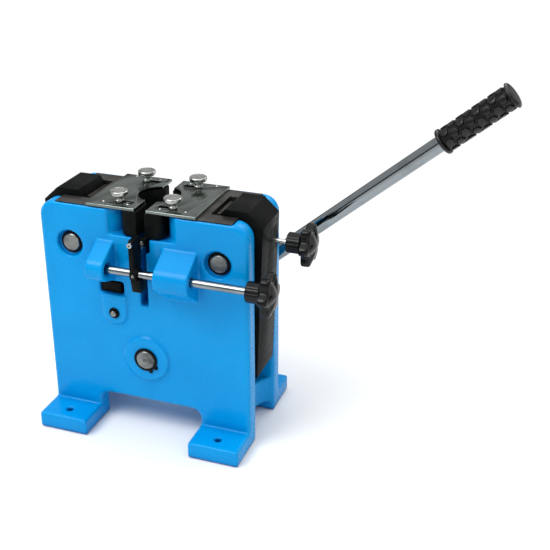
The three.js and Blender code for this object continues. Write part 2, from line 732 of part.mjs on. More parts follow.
function ratchetSector() {
  const centreAngle = Math.atan2(pawlHeight - shaftHeight, pawlX);
  const first = centreAngle - leverDown - ratchetPitch;
  const teeth = Math.round((leverDown + leverUp) / ratchetPitch) + 3;
  const rim = [];
  for (let tooth = 0; tooth < teeth; tooth += 1) {
    const angle = first + tooth * ratchetPitch;
    const root = ratchetRadius - ratchetToothDepth;
    rim.push(new THREE.Vector2(root * Math.cos(angle), root * Math.sin(angle)));
    rim.push(new THREE.Vector2(ratchetRadius * Math.cos(angle), ratchetRadius * Math.sin(angle)));
  }
  const last = first + teeth * ratchetPitch;
  rim.push(new THREE.Vector2(10 * Math.cos(last + 0.5), 10 * Math.sin(last + 0.5)));
  rim.push(new THREE.Vector2(10 * Math.cos(first - 0.5), 10 * Math.sin(first - 0.5)));
  const start = plateDepth + 0.8;
  return cut(
    join(slabY(new THREE.Shape(rim), start, start + ratchetThickness, 0, 1),
      barY(0, 0, camHubRadius + 2, start, start + ratchetThickness)),
    barY(0, 0, shaftRadius + gap, 0, frameDepth),
  );
}

function pawl() {
  const start = plateDepth + 0.8;
  const clear = ratchetRadius + 0.8;
  const tipAngle = THREE.MathUtils.degToRad(135.6);
  const tip = [clear * Math.cos(tipAngle), shaftHeight + clear * Math.sin(tipAngle)];
  const tailTop = pawlHeight + pawlTailLength;
  const finger = slabY(outline([
    [tip[0], tip[1]], [pawlX + pawlHalf + 1, pawlHeight - 4, 3], [pawlX + pawlHalf, pawlHeight + 14, 4],
    [pawlX + 3, tailTop, 4], [pawlX - pawlHalf - 3, tailTop, 4],
    [pawlX - pawlHalf, pawlHeight + 8, 4], [pawlX - pawlHalf, pawlHeight - 12, 3],
  ]), start, start + ratchetThickness, 0, 3);
  const tab = block(windowLeft + 0.8, windowRight - pawlTabRoom, pawlTabFront, start + 2,
    windowBottom + 1.4, windowTop - 3);
  return cut(join(finger, tab), barY(pawlX, pawlHeight, pawlPinRadius + gap, 0, plateDepth + 30, 20));
}

function shaftRing() {
  const y1 = -bossStand - gap;
  const y0 = y1 - shaftRingThickness;
  const rim = shaftRadius + shaftRingWall;
  const lugs = [-0.28, 0.28].map((turn) => {
    const angle = -0.9 + turn;
    return barY((rim + 1.1) * Math.cos(angle), (rim + 1.1) * Math.sin(angle), 2.6, y0, y1, 12);
  });
  return cut(join(barY(0, 0, rim, y0, y1), ...lugs), barY(0, 0, shaftRadius + gap, -20, 20));
}

function addDrive() {
  const drive = new THREE.Group();
  drive.position.z = shaftHeight;
  model.add(drive);
  addSolid('main_shaft', mainShaft(), pinSteel, drive);
  addSolid('cam', cam(), groundSteel, drive);
  const key = new THREE.BoxGeometry(keySize, camWidth - 1, keySize - 0.4);
  addPiece('cam_key', key, groundSteel, drive).position.set(0, midY, shaftRadius + 0.1);
  addSolid('shaft_ring', shaftRing(), blackOxide, drive);
  addSolid('ratchet_sector', ratchetSector(), blackOxide, drive);
  const bushLength = plateDepth - castRound - 2 * gap;
  const bush = geometryOf(cut(barY(0, 0, shaftRadius + bushWall, 0, bushLength),
    barY(0, 0, shaftRadius + gap, -1, bushLength + 1)));
  addPiece('shaft_bush_front', bush, bronze, drive).position.y = castRound + gap;
  addPiece('shaft_bush_rear', bush, bronze, drive).position.y = frameDepth - castRound - gap - bushLength;
  addSolid('pawl', pawl(), blackOxide);
  const pinStart = -bossStand - 4.5;
  addSolid('pawl_pin', barY(pawlX, pawlHeight, pawlPinRadius, pinStart,
    plateDepth + ratchetThickness + 3, 20), pinSteel);
  const clipBack = -bossStand - gap;
  const clip = barY(pawlX, pawlHeight, pawlPinRadius + 3, clipBack - 1.2, clipBack, 20);
  addSolid('pawl_clip', cut(clip, barY(pawlX, pawlHeight, pawlPinRadius + gap, -20, 20, 20)), blackOxide);
}

// ---- knobs, cross rod and opener finger ----
function starKnob(boreRadius, boreDepth) {
  const points = [];
  const steps = starLobes * 6;
  for (let step = 0; step < steps; step += 1) {
    const angle = (step / steps) * 2 * Math.PI;
    const radius = starRadius - starScallop * (1 - Math.cos(starLobes * angle));
    points.push(new THREE.Vector2(radius * Math.cos(angle), radius * Math.sin(angle)));
  }
  const star = slabX(new THREE.Shape(points), starHubLength - 1, starHubLength + starThickness, 2.4);
  const hub = barX(0, 0, starHubRadius, 0, starHubLength + 1, 24);
  return geometryOf(cut(join(star, hub), barX(0, 0, boreRadius + gap, -1, boreDepth)));
}

function addStroke() {
  const knob = addPiece('stroke_knob', starKnob(strokeRadius, 14), blackPlastic);
  knob.position.set(strokeKnobStart, midY, strokeHeight);
  addSolid('stroke_screw', barX(midY, strokeHeight, strokeRadius, strokeTip, strokeKnobStart + 13, 16),
    zincPlate);
}

function fingerLever() {
  const front = rodY - fingerFront;
  const back = front + fingerDepth;
  const bladeHalf = fingerWidth / 2;
  const collarLow = fingerX - fingerCollarStart;
  const collarHigh = fingerX + fingerCollarEnd;
  const blade = slabX(outline([
    [front, rodHeight - 6, 2], [rodY + 8, rodHeight - 6, 2], [back, rodHeight + 14, 4],
    [back, fingerTop, 2], [front, fingerTop, 4],
  ]), fingerX - bladeHalf, fingerX + bladeHalf);
  const collar = barX(rodY, rodHeight, rodRadius + 4, collarLow, collarHigh, 24);
  const tail = slabX(outline([
    [rodY - 8, rodHeight - 6, 2], [rodY - 4, rodHeight - fingerTailDrop, 2],
    [rodY + 12, rodHeight - fingerTailDrop + 2, 2], [rodY + 9, rodHeight - 6, 2],
  ]), fingerX - fingerTailStart, fingerX + fingerTailEnd);
  return cut(
    join(blade, collar, tail),
    barX(rodY, rodHeight, rodRadius + gap, fingerX - 20, fingerX + 20),
    barY(fingerX, fingerBoltHeight, fingerBoltRadius + gap, front - 1, front + 18, 12),
    barY((collarLow + collarHigh) / 2, rodHeight, screwRadius + gap, rodY - 20, rodY, 12),
  );
}

function addOpener() {
  addSolid('opener_rod', barX(rodY, rodHeight, rodRadius, leftBossLow + 5, rodEnd), chromePlate);
  const knob = addPiece('opener_knob', starKnob(rodRadius, rodEnd - openerKnobStart + 2), blackPlastic);
  knob.position.set(openerKnobStart, rodY, rodHeight);
  addSolid('finger_lever', fingerLever(), blackOxide);
  const boltFace = rodY - fingerFront - gap;
  const bolt = join(barY(fingerX, fingerBoltHeight, fingerBoltRadius, boltFace, boltFace + 17, 12),
    barY(fingerX, fingerBoltHeight, fingerBoltHeadRadius, boltFace - 3, boltFace + 0.1, 12));
  addSolid('finger_bolt', bolt, pinSteel);
  const setScrewX = fingerX + (fingerCollarEnd - fingerCollarStart) / 2;
  addSolid('finger_set_screw', barY(setScrewX, rodHeight, screwRadius, rodY - rodRadius - 4.4,
    rodY - rodRadius - gap, 12), pinSteel);
  const barFront = 2;
  const bar = block(-spreaderHalf, spreaderHalf, barFront, frameDepth - plateDepth - 12,
    spreaderTop - spreaderHeight, spreaderTop);
  addSolid('spreader_bar', cut(bar, barY(0, spreaderMiddle, screwRadius + gap, 0, 16, 12)), blackOxide);
  const head = join(barY(0, spreaderMiddle, screwRadius, barFront - 0.4, 14, 12),
    barY(0, spreaderMiddle, screwHeadRadius, barFront - 3.3, barFront - gap, 12));
  addSolid('spreader_screw', head, pinSteel);
}

// ---- hand lever ----
function leverHub() {
  const half = leverHubWidth / 2;
  const low = leverY - half;
  const wall = leverHubRadius - shaftRadius;
  return cut(
    join(barZ(0, leverY, leverSocketRadius, 0, leverSocketEnd, 24),
      barY(0, 0, leverHubRadius, low, leverY + half, 28)),
    barY(0, 0, shaftRadius + gap, low - 1, leverY + half + 1),
    barZ(0, leverY, tubeRadius + gap, tubeStart - gap, leverSocketEnd + 1, 24),
    barZ(0, leverY, clampScrewRadius + gap, -leverHubRadius - 1, -leverHubRadius + wall + 1, 16),
  );
}

function addLever() {
  const lever = new THREE.Group();
  lever.position.z = shaftHeight;
  lever.rotation.y = Math.PI / 2 - leverAngle;
  model.add(lever);
  addSolid('lever_hub', leverHub(), blackOxide, lever);
  addSolid('hub_clamp_screw', barZ(0, leverY, clampScrewRadius, -leverHubRadius, -shaftRadius - gap, 16),
    blackOxide, lever);
  addSolid('lever_tube', barZ(0, leverY, tubeRadius, tubeStart, tubeEnd, 24), chromePlate, lever);
  const bore = tubeRadius + gap;
  const grip = turned([
    [bore, gripStart], [gripFlangeRadius - 1, gripStart], [gripFlangeRadius, gripStart + 1],
    [gripFlangeRadius, gripStart + 5], [gripRadius, gripStart + 7], [gripRadius, gripEnd - 8],
    [gripFlangeRadius, gripEnd - 6], [gripFlangeRadius, gripEnd - 2], [gripFlangeRadius - 2, gripEnd],
    [0, gripEnd], [0, tubeEnd + gap], [bore, tubeEnd + gap], [bore, gripStart],
  ]);
  addPiece('lever_grip', grip, gripRubber, lever).position.y = leverY;
}

addSolid('frame_casting', frameCasting(), paint);
addTop();
addCarriers();
addArms();
addDrive();
addStroke();
addOpener();
addLever();

// The origin is the middle of the footprint, on the bench.
model.updateMatrixWorld(true);
const extent = new THREE.Box3().setFromObject(model, true);
const middle = extent.getCenter(new THREE.Vector3());
model.position.set(-middle.x, -middle.y, -extent.min.z);

export default model;
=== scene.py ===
import json
import math

import bmesh
import bpy
import numpy as np
from mathutils import Matrix, Vector


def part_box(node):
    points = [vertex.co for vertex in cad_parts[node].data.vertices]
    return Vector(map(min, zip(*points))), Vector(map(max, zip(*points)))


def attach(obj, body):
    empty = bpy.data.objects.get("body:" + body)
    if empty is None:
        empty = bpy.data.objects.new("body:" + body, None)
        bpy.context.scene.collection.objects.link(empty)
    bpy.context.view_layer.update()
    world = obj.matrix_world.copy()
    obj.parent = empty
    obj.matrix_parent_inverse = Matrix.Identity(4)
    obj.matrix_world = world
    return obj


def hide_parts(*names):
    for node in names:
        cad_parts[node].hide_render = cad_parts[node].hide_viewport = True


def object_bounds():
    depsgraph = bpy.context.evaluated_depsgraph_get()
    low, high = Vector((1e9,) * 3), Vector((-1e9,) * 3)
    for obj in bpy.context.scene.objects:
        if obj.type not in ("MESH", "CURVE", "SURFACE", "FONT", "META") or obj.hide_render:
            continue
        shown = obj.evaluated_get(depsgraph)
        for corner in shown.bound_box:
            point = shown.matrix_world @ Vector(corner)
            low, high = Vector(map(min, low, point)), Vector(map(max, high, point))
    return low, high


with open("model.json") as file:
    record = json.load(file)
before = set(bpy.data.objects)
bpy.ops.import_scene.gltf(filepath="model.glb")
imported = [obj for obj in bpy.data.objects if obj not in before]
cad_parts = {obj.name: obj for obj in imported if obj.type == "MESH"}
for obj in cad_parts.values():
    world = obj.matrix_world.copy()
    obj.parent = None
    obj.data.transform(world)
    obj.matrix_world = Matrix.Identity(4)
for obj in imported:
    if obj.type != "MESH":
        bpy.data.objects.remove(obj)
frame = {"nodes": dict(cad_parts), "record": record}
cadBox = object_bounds()
nodes = frame["nodes"]
bodies = frame["record"]["behaviour"]["bodies"]
slotOfNode = {part["node"]: part["material_slot"] for part in frame["record"]["subparts"]}
bodyOfNode = {node: body for body, members in bodies.items() for node in members}
mm = 0.001
alongX = np.array([1.0, 0.0, 0.0])
alongY = np.array([0.0, 1.0, 0.0])
alongZ = np.array([0.0, 0.0, 1.0])


# one shader socket, so that maths on it is written as Python
class Wire:
    def __init__(self, paintShop, socket):
        self.paintShop = paintShop
        self.socket = socket

    def maths(self, operation, other):
        return self.paintShop.add("ShaderNodeMath", {"operation": operation}, {0: self, 1: other})

    def __add__(self, other):
        return self.maths("ADD", other)

    def __mul__(self, other):
        return self.maths("MULTIPLY", other)

    __radd__ = __add__
    __rmul__ = __mul__


def fillRamp(ramp, stops):
    # each stop is a position and a grey level
    while len(ramp.elements) < len(stops):
        ramp.elements.new(0.5)
    for element, (position, level) in zip(ramp.elements, stops):
        element.position = position
        element.color = (level, level, level, 1.0)


# one material's node tree, with one method that adds every node
class PaintShop:
    def __init__(self, tree):
        self.tree = tree
        self.coordinates = None

    def add(self, kind, settings=None, values=None, output=0):
        node = self.tree.nodes.new(kind)
        for key, value in (settings or {}).items():
            if key == "stops":
                fillRamp(node.color_ramp, value)
            else:
                setattr(node, key, value)
        for key, value in (values or {}).items():
            if isinstance(value, Wire):
                self.tree.links.new(value.socket, node.inputs[key])
            else:
                node.inputs[key].default_value = value
        return Wire(self, node.outputs[output])

    def place(self, offset=(0, 0, 0), stretch=(1, 1, 1)):
        if self.coordinates is None:
            self.coordinates = self.add("ShaderNodeTexCoord", output="Object")
        values = {"Vector": self.coordinates, "Location": offset, "Scale": stretch}
        return self.add("ShaderNodeMapping", {"vector_type": "POINT"}, values)

    def noise(self, scale, detail=2.0, roughness=0.5, **mapping):
        values = {"Vector": self.place(**mapping), "Scale": scale, "Detail": detail, "Roughness": roughness}
        return self.add("ShaderNodeTexNoise", {"noise_dimensions": "3D"}, values)

    def length(self, vector):
        return self.add("ShaderNodeVectorMath", {"operation": "LENGTH"}, {0: vector}, output="Value")

    def openness(self, reach, samples):
        # 1 on open faces, less in corners and grooves
        settings = {"samples": samples, "inside": False}
        return self.add("ShaderNodeAmbientOcclusion", settings, {"Distance": reach}, output="AO")

    def span(self, value, low, high, outLow=0.0, outHigh=1.0):
        values = {"Value": value, "From Min": low, "From Max": high, "To Min": outLow, "To Max": outHigh}
        return self.add("ShaderNodeMapRange", {"clamp": True}, values)

    def blend(self, share, first, second):
        settings = {"data_type": "RGBA", "blend_type": "MIX"}
        values = {0: share, 6: first, 7: second}
        return self.add("ShaderNodeMix", settings, values, output=2)

    def bump(self, height, distance, strength, **more):
        values = {"Height": height, "Distance": distance, "Strength": strength, **more}
        return self.add("ShaderNodeBump", {}, values)


def rgb(red, green, blue):
    # 8-bit display colour to linear light
    share = np.array([red, green, blue]) / 255
    linear = np.where(share <= 0.04045, share / 12.92, ((share + 0.055) / 1.055) ** 2.4)
    return (*[float(x) for x in linear], 1.0)


def newMaterial(name, recipe, **fixed):
    # underscores stand for the spaces in the shader's input names
    material = bpy.data.materials.new(name)
    material.use_nodes = True
    shop = PaintShop(material.node_tree)
    shader = material.node_tree.nodes["Principled BSDF"]
    for key, value in fixed.items():
        shader.inputs[key.replace("_", " ")].default_value = value
    for key, wire in recipe(shop).items():
        material.node_tree.links.new(wire.socket, shader.inputs[key.replace("_", " ")])
    return material


# the blue paint: orange peel over a cast surface, with painted shade (a deeper blue) in the corners; depths
# in metres
enamel = {
    "colour": rgb(0, 141, 211), "light": rgb(0, 151, 221), "shadeBlue": rgb(0, 66, 150),
    "peel": {"scale": 330, "detail": 1.5}, "peelRelief": (0.00008, 0.35),
    "cast": {"scale": 48, "detail": 3, "roughness": 0.6, "offset": (3, 1, 2)}, "castRelief": (0.0003, 0.4),
    "drift": {"scale": 9, "detail": 2, "offset": (1, 5, 0)}, "driftTint": (0.35, 0.65),
    "cornerReach": 0.014, "cornerSamples": 4, "cornerShadeSpan": (0.3, 0.85, 0.85, 0.0),
    "rough": (0.7, 1.3, 0.2, 0.34),
}


def enamelRecipe(shop):
    peel = shop.noise(**enamel["peel"])
    cast = shop.noise(**enamel["cast"])
    drift = shop.noise(**enamel["drift"])
    # painted shade: where ambient occlusion finds a corner or recess, the blue turns deeper
    corner = shop.openness(enamel["cornerReach"], enamel["cornerSamples"])
    colour = shop.blend(shop.span(drift, *enamel["driftTint"]), enamel["colour"], enamel["light"])
    colour = shop.blend(shop.span(corner, *enamel["cornerShadeSpan"]), colour, enamel["shadeBlue"])
    skin = shop.bump(cast, *enamel["castRelief"])
    skin = shop.bump(peel, *enamel["peelRelief"], Normal=skin)
    return {"Base_Color": colour, "Roughness": shop.span(peel + cast, *enamel["rough"]), "Normal": skin}


# the black finish of arms and carriers: brushed along Y, with fine specks
oxide = {
    "colour": rgb(11, 13, 13), "worn": rgb(27, 28, 26),
    "tint": (0.42, 0.75), "rough": (0.75, 1.25, 0.34, 0.52),
    "cloud": {"scale": 34, "detail": 4, "roughness": 0.65}, "speck": {"scale": 900, "detail": 1},
    "lay": {"scale": 300, "detail": 2, "stretch": (1, 0.06, 1)}, "relief": (0.00005, 0.35),
}


def oxideRecipe(shop):
    cloud = shop.noise(**oxide["cloud"])
    lay = shop.noise(**oxide["lay"])
    speck = shop.noise(**oxide["speck"])
    return {"Base_Color": shop.blend(shop.span(cloud, *oxide["tint"]), oxide["colour"], oxide["worn"]),
            "Roughness": shop.span(cloud + lay, *oxide["rough"]),
            "Normal": shop.bump(speck + lay, *oxide["relief"])}


# the rest share one recipe. tint: the cloud's span; rough: its span and the roughness at its ends;
# relief: depth in metres and strength; fineShare: how far the fine grain takes part in the roughness
ground = {
    "colour": rgb(120, 128, 124), "second": rgb(106, 114, 110),
    "tint": (0.35, 0.7), "rough": (0.35, 0.65, 0.17, 0.22),
    "cloud": {"scale": 22, "detail": 3, "offset": (2, 0, 4)}, "fineShare": 0.15, "relief": (0.000004, 0.4),
    "fine": {"scale": 700, "detail": 3, "roughness": 0.7, "stretch": (1, 0.015, 1)},
}
strip = {
    "colour": rgb(88, 87, 84), "second": rgb(66, 65, 62),
    "tint": (0.4, 0.65), "rough": (0.35, 0.65, 0.36, 0.5),
    "cloud": {"scale": 30, "detail": 4, "roughness": 0.6}, "fineShare": 0.4,
    "fine": {"scale": 420, "detail": 3, "roughness": 0.7, "stretch": (0.03, 1, 1)}, "relief": (0.00003, 0.4),
}
plate = {
    "colour": rgb(188, 190, 186), "second": rgb(146, 148, 142),
    "tint": (0.4, 0.7), "rough": (0.3, 0.7, 0.14, 0.26),
    "cloud": {"scale": 90, "detail": 4, "roughness": 0.6}, "fineShare": 0,
    "fine": {"scale": 1400, "detail": 1}, "relief": (0.00002, 0.3),
}
chrome = {
    "colour": rgb(138, 145, 149), "second": rgb(112, 120, 121),
    "tint": (0.5, 0.75), "rough": (0.4, 0.75, 0.035, 0.12),
    "cloud": {"scale": 26, "detail": 4, "roughness": 0.6}, "fineShare": 0,
    "fine": {"scale": 60, "detail": 2}, "relief": (0.00002, 0.25),
}
moulded = {
    "colour": rgb(8, 9, 10), "second": rgb(18, 19, 20), "tint": (0.45, 0.8), "rough": (0.3, 0.7, 0.18, 0.28),
    "cloud": {"scale": 60, "detail": 3}, "fineShare": 0,
    "fine": {"scale": 1200, "detail": 1.5}, "relief": (0.00004, 0.25),
}
bushing = {
    "colour": rgb(196, 150, 84), "second": rgb(140, 98, 52),
    "tint": (0.35, 0.7), "rough": (0.3, 0.7, 0.28, 0.42),
    "cloud": {"scale": 80, "detail": 3}, "fineShare": 0,
    "fine": {"scale": 900, "detail": 2, "stretch": (1, 0.05, 1)}, "relief": (0.00003, 0.3),
}


def cloudedRecipe(look):
    def recipe(shop):
        cloud = shop.noise(**look["cloud"])
        fine = shop.noise(**look["fine"])
        share = look["fineShare"]
        wear = fine * share + cloud * (1 - share) if share else cloud
        return {"Base_Color": shop.blend(shop.span(cloud, *look["tint"]), look["colour"], look["second"]),
                "Roughness": shop.span(wear, *look["rough"]), "Normal": shop.bump(fine, *look["relief"])}

    return recipe


# steel turned on a lathe, in three tones; groove is a depth in metres
turnedSteel = {"colour": rgb(128, 130, 128), "dark": rgb(78, 80, 78), "groove": 0.00003}
brightSteel = {"colour": rgb(226, 228, 226), "dark": rgb(196, 198, 196), "groove": 0.00002}
hardSteel = {"colour": rgb(74, 70, 64), "dark": rgb(46, 44, 40), "groove": 0.00002}
lathe = {
    "ringScale": 2600.0, "ringDetail": 2.0, "ringStrength": 0.6, "ringShare": 0.5, "tint": (0.4, 0.7),
    "cloud": {"scale": 70, "detail": 3}, "rough": (0.35, 0.65, 0.22, 0.38),
}


def turnedRecipe(centre, axis, tone):
    # rings about a piece's own axis: the distance from it drives fine grooves
    across = tuple(float(1 - abs(a)) for a in axis)

    def recipe(shop):
        spot = shop.place(offset=tuple(float(-c * s) for c, s in zip(centre, across)), stretch=across)
        values = {"W": shop.length(spot), "Scale": lathe["ringScale"], "Detail": lathe["ringDetail"]}
        rings = shop.add("ShaderNodeTexNoise", {"noise_dimensions": "1D"}, values)
        cloud = shop.noise(**lathe["cloud"])
        wear = rings * lathe["ringShare"] + cloud * (1 - lathe["ringShare"])
        return {"Base_Color": shop.blend(shop.span(cloud, *lathe["tint"]), tone["colour"], tone["dark"]),
                "Roughness": shop.span(wear, *lathe["rough"]),
                "Normal": shop.bump(rings, tone["groove"], lathe["ringStrength"])}

    return recipe


def turnedFinish(name, centre, axis, tone):
    return newMaterial(f"{name}_steel", turnedRecipe(centre, axis, tone), Metallic=1.0)


# the grip's rubber: dust on the tops of the studs, a painted sheen there (coat weight), and painted shade
# that keeps the grooves dark
rubber = {
    "colour": rgb(10, 11, 12), "dust": rgb(26, 27, 28), "tint": (0.45, 0.78), "rough": (0.7, 1.3, 0.4, 0.6),
    "cloud": {"scale": 75, "detail": 4, "roughness": 0.6}, "skin": {"scale": 1500, "detail": 2},
    "relief": (0.00007, 0.4), "grooveReach": 0.004, "grooveSamples": 6, "topSheenGrooveShade": (0.7, 0.95), "paintedSheen": 0.6,
}


def rubberRecipe(shop):
    cloud = shop.noise(**rubber["cloud"])
    skin = shop.noise(**rubber["skin"])
    # painted shade and painted sheen: ambient occlusion keeps the dust and the coat off the grooves, so the
    # grooves stay dark while the open tops shine
    topSheenGrooveShade = shop.span(shop.openness(rubber["grooveReach"], rubber["grooveSamples"]), *rubber["topSheenGrooveShade"])
    dustWithGrooveShade = shop.span(cloud, *rubber["tint"]) * topSheenGrooveShade
    return {"Base_Color": shop.blend(dustWithGrooveShade, rubber["colour"], rubber["dust"]),
            "Coat_Weight": topSheenGrooveShade * rubber["paintedSheen"], "Roughness": shop.span(cloud + skin, *rubber["rough"]),
            "Normal": shop.bump(skin, *rubber["relief"])}


finishes = {  # by the frame's material slot
    "blue_paint": newMaterial("blueEnamel", enamelRecipe, Specular_IOR_Level=0.08, Coat_Weight=0.14,
                              Coat_Roughness=0.1),
    "black_oxide": newMaterial("blackOxide", oxideRecipe, Specular_IOR_Level=0.05),
    "ground_steel": newMaterial("groundSteel", cloudedRecipe(ground), Metallic=1.0),
    "strip_steel": newMaterial("stripSteel", cloudedRecipe(strip), Metallic=0.9),
    "pin_steel": newMaterial("pinSteel", cloudedRecipe(plate), Metallic=1.0),
    "zinc": newMaterial("zincPlate", cloudedRecipe(plate), Metallic=1.0),
    "chrome": newMaterial("chromePlate", cloudedRecipe(chrome), Metallic=1.0),
    "black_plastic": newMaterial("blackPhenolic", cloudedRecipe(moulded), Specular_IOR_Level=0.15,
                                 Coat_Weight=0.15, Coat_Roughness=0.08),
    "grip_rubber": newMaterial("gripRubber", rubberRecipe, Specular_IOR_Level=0.1, Coat_Roughness=0.2),
    "bronze": newMaterial("bushBronze", cloudedRecipe(bushing), Metallic=1.0),
}
for name, node in nodes.items():
    node.data.materials.clear()
    node.data.materials.append(finishes[slotOfNode[name]])
print("finishes made:", len(finishes))

# shared by all pieces: distances in metres, angles in degrees
meshing = {
    "weld": 1e-7, "sharpAngle": 38, "arcSteps": 5, "ringSteps": 72,
    "copyWeld": 2e-6, "flatAngle": 1, "bevelSegments": 2, "bevelAngle": 32,
}


def vertices(name):
    mesh = nodes[name].data
    flat = np.zeros(len(mesh.vertices) * 3, np.float32)
    mesh.vertices.foreach_get("co", flat)
    return flat.reshape(-1, 3).astype(float)


def perpendicular(axis):
    helper = alongZ if abs(axis[2]) < 0.9 else alongX
    side = np.cross(helper, axis)
    side /= np.linalg.norm(side)
    return side, np.cross(axis, side)


def measure(name, axis):
    # a round node's centre line, its two ends along it, and its outer radius
    points = vertices(name)
    side, up = perpendicular(axis)
    along, u, v = points @ axis, points @ side, points @ up
    centre = side * (u.min() + u.max()) / 2 + up * (v.min() + v.max()) / 2
    return centre, along.min(), along.max(), (u.max() - u.min()) / 2


def addPiece(name, mesh):
    piece = bpy.data.objects.new(name, mesh)
    bpy.context.scene.collection.objects.link(piece)
    return piece


def smoothFaces(mesh):
    mesh.polygons.foreach_set("use_smooth", np.full(len(mesh.polygons), True))


def wrap(name, grid, ring=False):
    # a grid of points (rows along, columns around) as a closed skin; ring joins last row to first
    rows, columns = grid.shape[:2]
    index = np.arange(rows * columns).reshape(rows, columns)
    low = index if ring else index[:-1]
    high = np.roll(index, -1, axis=0) if ring else index[1:]
    faces = np.stack([low, np.roll(low, -1, 1), np.roll(high, -1, 1), high], -1).reshape(-1, 4)
    mesh = bpy.data.meshes.new(name)
    mesh.from_pydata(grid.reshape(-1, 3).tolist(), [], faces.tolist())
    work = bmesh.new()
    work.from_mesh(mesh)
    bmesh.ops.remove_doubles(work, verts=work.verts, dist=meshing["weld"])
    bmesh.ops.recalc_face_normals(work, faces=work.faces)
    work.to_mesh(mesh)
    work.free()
    smoothFaces(mesh)
    mesh.set_sharp_from_angle(angle=math.radians(meshing["sharpAngle"]))
    return addPiece(name, mesh)


def softened(corners):
    # each corner (radius, along, round) becomes a short curve: B(t) = (1-t)^2 p + 2t(1-t) c + t^2 q
    points = []
    t = np.linspace(0, 1, meshing["arcSteps"])[:, None]
    for index, corner in enumerate(corners):
        here = np.array(corner[:2], float)
        rounding = corner[2] if len(corner) > 2 else 0
        if rounding == 0 or index in (0, len(corners) - 1):
            points.append(here[None])
            continue
        back = np.array(corners[index - 1][:2], float) - here
        ahead = np.array(corners[index + 1][:2], float) - here
        start = here + back / np.linalg.norm(back) * min(rounding, np.linalg.norm(back) / 2)
        end = here + ahead / np.linalg.norm(ahead) * min(rounding, np.linalg.norm(ahead) / 2)
        points.append((1 - t) ** 2 * start + 2 * t * (1 - t) * here + t**2 * end)
    return np.concatenate(points)


def anglesAround(steps):
    return np.linspace(0, 2 * np.pi, steps, endpoint=False)


def spun(centre, axis, heights, radii):
    # p(row, a) = centre + axis * height(row) + radius(row, a) * (side cos a + up sin a)
    side, up = perpendicular(axis)
    angle = anglesAround(radii.shape[1])
    radial = np.cos(angle)[:, None] * side + np.sin(angle)[:, None] * up
    return centre + heights[:, None, None] * axis + radii[..., None] * radial[None]


def turned(name, centre, axis, corners, steps=meshing["ringSteps"], ring=False):
    outline = softened(corners)
    return wrap(name, spun(centre, axis, outline[:, 1], outline[:, :1] * np.ones(steps)), ring)


def settle(piece, node, material=None):
    # the piece rides with, replaces and takes its finish from the node that it stands for
    slot = slotOfNode[node]
    piece.data.materials.clear()
    piece.data.materials.append(material or finishes[slot])
    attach(piece, bodyOfNode[node])
    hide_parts(node)
    return piece


def mergedCopy(name, label):
    mesh = nodes[name].data.copy()
    work = bmesh.new()
    work.from_mesh(mesh)
    bmesh.ops.remove_doubles(work, verts=work.verts, dist=meshing["copyWeld"])
    flat = math.radians(meshing["flatAngle"])
    bmesh.ops.dissolve_limit(work, angle_limit=flat, verts=work.verts, edges=work.edges)
    work.to_mesh(mesh)
    work.free()
    mesh.name = label
    return addPiece(label, mesh)


def applyModifiers(piece):
    view = bpy.context.evaluated_depsgraph_get()
    made = bpy.data.meshes.new_from_object(piece.evaluated_get(view), depsgraph=view)
    old = piece.data
    piece.modifiers.clear()
    piece.data = made
    bpy.data.meshes.remove(old)


def eased(name, width, material=None):
    # a machined piece: the node's own shape with its edges broken
    piece = mergedCopy(name, f"{name}_eased")
    for edge in piece.data.edges:
        edge.use_edge_sharp = False
    smoothFaces(piece.data)
    bevel = piece.modifiers.new("eased edges", "BEVEL")
    bevel.width = width * mm
    bevel.segments = meshing["bevelSegments"]
    bevel.limit_method = "ANGLE"
    bevel.angle_limit = math.radians(meshing["bevelAngle"])
    bevel.harden_normals = True
    return settle(piece, name, material)


# the casting: an even skin whose edges are softened; voxel in mm
casting = {"voxel": 1.5, "softenSteps": 9, "softenShare": 0.5, "keepShare": 0.24}


def frameCasting():
    piece = mergedCopy("frame_casting", "blue_casting")
    remesh = piece.modifiers.new("even skin", "REMESH")
    remesh.mode = "VOXEL"
    remesh.voxel_size = casting["voxel"] * mm
    soften = piece.modifiers.new("cast edges", "SMOOTH")
    soften.factor = casting["softenShare"]
    soften.iterations = casting["softenSteps"]
    thin = piece.modifiers.new("fewer faces on the flats", "DECIMATE")
    thin.ratio = casting["keepShare"]
    applyModifiers(piece)
    smoothFaces(piece.data)
    return settle(piece, "frame_casting")


frameCasting()
print("casting made")

# machined pieces that keep their own shape; the width of each one's broken edges in mm
brokenEdges = {
    "arm_left": 0.7, "arm_right": 0.7, "die_carrier_left": 0.6, "die_carrier_right": 0.6,
    "cover_plate_left": 0.35, "cover_plate_right": 0.35, "top_strip_left": 0.3, "top_strip_right": 0.3,
    "finger_lever": 0.5, "spreader_bar": 0.4, "pawl": 0.4, "ratchet_sector": 0.3, "cam": 0.5,
    "thrust_pad_left": 0.4, "thrust_pad_right": 0.4, "cam_key": 0.3, "shaft_ring": 0.2,
}
for nodeName, width in brokenEdges.items():
    isPad = nodeName.startswith("thrust_pad")
    eased(nodeName, width, turnedFinish(nodeName, (0, 0, 0), alongX, hardSteel) if isPad else None)
print("machined pieces made:", len(brokenEdges))

tubeEnds = vertices("lever_tube")
leverAxis = np.linalg.svd(tubeEnds - tubeEnds.mean(0), full_matrices=False)[2][0]
leverAxis = leverAxis * np.sign(leverAxis[0])

